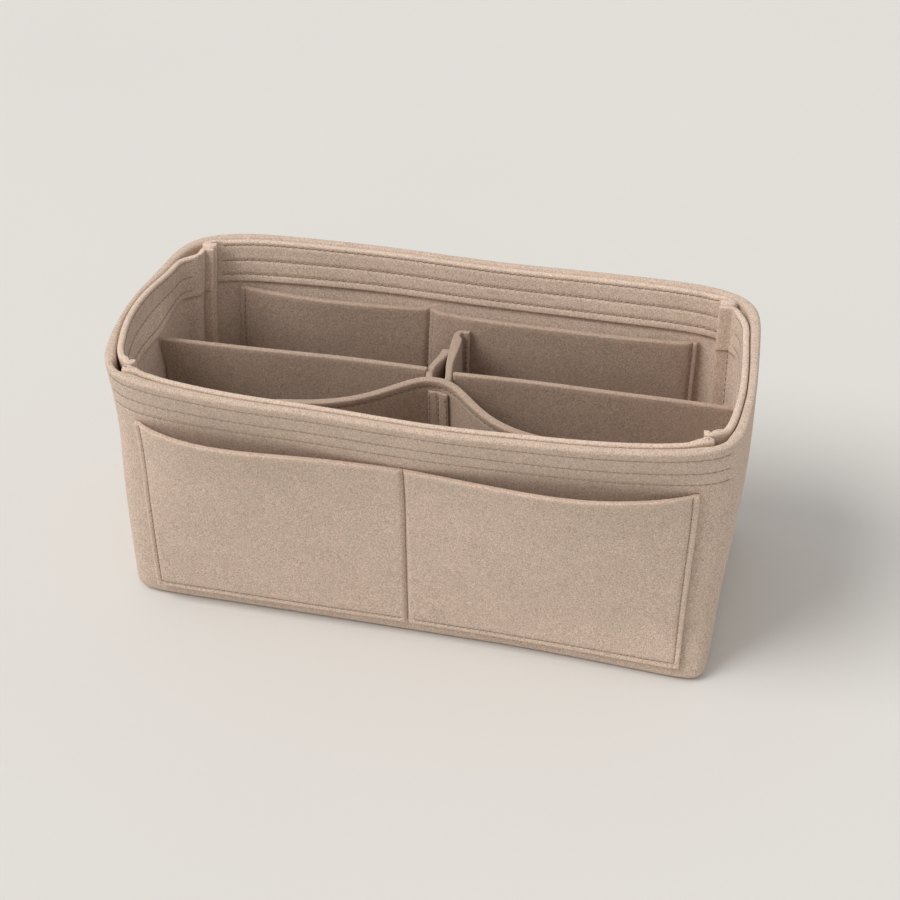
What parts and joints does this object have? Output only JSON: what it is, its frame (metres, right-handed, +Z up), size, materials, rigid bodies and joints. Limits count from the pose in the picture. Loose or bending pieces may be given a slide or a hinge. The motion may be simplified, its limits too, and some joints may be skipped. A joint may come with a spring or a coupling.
{
  "type": "purse organizer insert",
  "caption": "Soft felt insert for a handbag: an open tub with rounded corners, stitched double rim, slip pockets outside and in, lengthwise dividers, bowed front panel and partition flaps.",
  "frame": {"origin": "middle of the underside, where it stands", "axes": "+X along the length to the right, +Y from the pocketed front to the back, +Z up"},
  "size_m": [0.2806, 0.1393, 0.127],
  "materials": {
    "shell_felt": "matte felt with a fine heather speckle",
    "lining_felt": "matte felt with a fine heather speckle",
    "panel_felt": "matte felt with a fine heather speckle",
    "thread": "matte twisted sewing thread"
  },
  "bodies": {
    "tub": {"back_pocket_border_right": "thread", "back_pocket_right": "panel_felt", "back_pocket_seam": "thread", "base_panel": "shell_felt", "base_seam_thread": "thread", "bowed_front_panel": "panel_felt", "bowed_panel_hem_row": "thread", "centre_strap": "panel_felt", "centre_strap_seam_left": "thread", "centre_strap_seam_middle": "thread", "centre_strap_seam_right": "thread", "corner_seam_back_left": "thread", "corner_seam_back_right": "thread", "corner_seam_front_left": "thread", "corner_seam_front_right": "thread", "front_pocket_seam": "thread", "left_divider": "panel_felt", "left_partition": "panel_felt", "lining_back": "lining_felt", "lining_back_row_1": "thread", "lining_back_row_2": "thread", "lining_back_row_3": "thread", "lining_floor": "lining_felt", "lining_front": "lining_felt", "lining_front_row_1": "thread", "lining_front_row_2": "thread", "lining_front_row_3": "thread", "lining_left": "lining_felt", "lining_left_row_1": "thread", "lining_left_row_2": "thread", "lining_left_row_3": "thread", "lining_right": "lining_felt", "lining_right_row_1": "thread", "lining_right_row_2": "thread", "lining_right_row_3": "thread", "outer_shell": "shell_felt", "partition_tab_seam": "thread", "right_divider": "panel_felt", "right_partition": "panel_felt", "shell_back_row_1": "thread", "shell_back_row_2": "thread", "shell_back_row_3": "thread", "shell_front_row_1": "thread", "shell_front_row_2": "thread", "shell_front_row_3": "thread"},
    "front_left_pocket": {"front_pocket_left": "shell_felt", "front_pocket_border_left": "thread"},
    "front_right_pocket": {"front_pocket_right": "shell_felt", "front_pocket_border_right": "thread"},
    "back_left_pocket": {"back_pocket_left": "panel_felt", "back_pocket_border_left": "thread"}
  },
  "joints": [
    {"name": "front_left_pocket_mouth", "type": "hinge", "parent": "tub", "child": "front_left_pocket", "pos_m": [-0.0615, -0.0601, 0.0086], "axis": [1, 0, 0], "range_deg": [0, 8], "stiffness_Nm_per_rad": 0.05},
    {"name": "front_right_pocket_mouth", "type": "hinge", "parent": "tub", "child": "front_right_pocket", "pos_m": [0.0615, -0.0601, 0.0086], "axis": [1, 0, 0], "range_deg": [0, 8], "stiffness_Nm_per_rad": 0.05},
    {"name": "back_left_pocket_mouth", "type": "hinge", "parent": "tub", "child": "back_left_pocket", "pos_m": [-0.0635, 0.0469, 0.012], "axis": [1, 0, 0], "range_deg": [0, 8], "stiffness_Nm_per_rad": 0.05}
  ]
}
